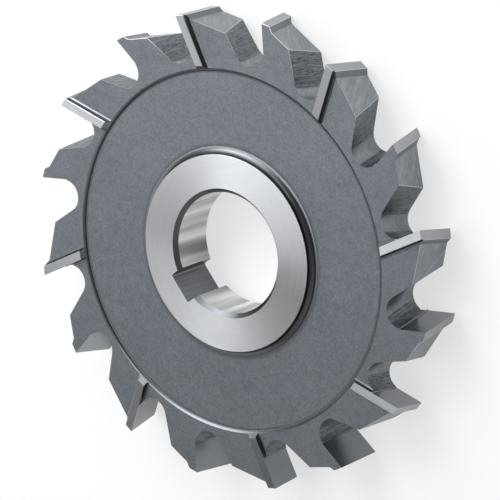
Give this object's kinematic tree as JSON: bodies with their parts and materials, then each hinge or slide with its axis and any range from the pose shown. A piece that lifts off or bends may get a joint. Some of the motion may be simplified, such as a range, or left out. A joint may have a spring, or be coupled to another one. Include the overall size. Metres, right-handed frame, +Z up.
{
  "type": "side and face cutter",
  "caption": "Disc milling cutter with staggered teeth across its rim and on both sides, a ground hub and a keyed bore for a milling arbor.",
  "frame": {"origin": "on the axis of the bore, in the plane of the lower hub face that the cutter lies on", "axes": "+Z up along the bore, out of the upper hub face; +Y from the axis to the middle of the keyway. Seen from above the teeth cut counter-clockwise"},
  "size_m": [0.125, 0.125, 0.014],
  "materials": {
    "tool_steel": "hardened steel, grey on the web and ring, ground bright on the hub, bore, tooth tips and side lands"
  },
  "bodies": {
    "root": {"cutter": "tool_steel"}
  },
  "joints": []
}
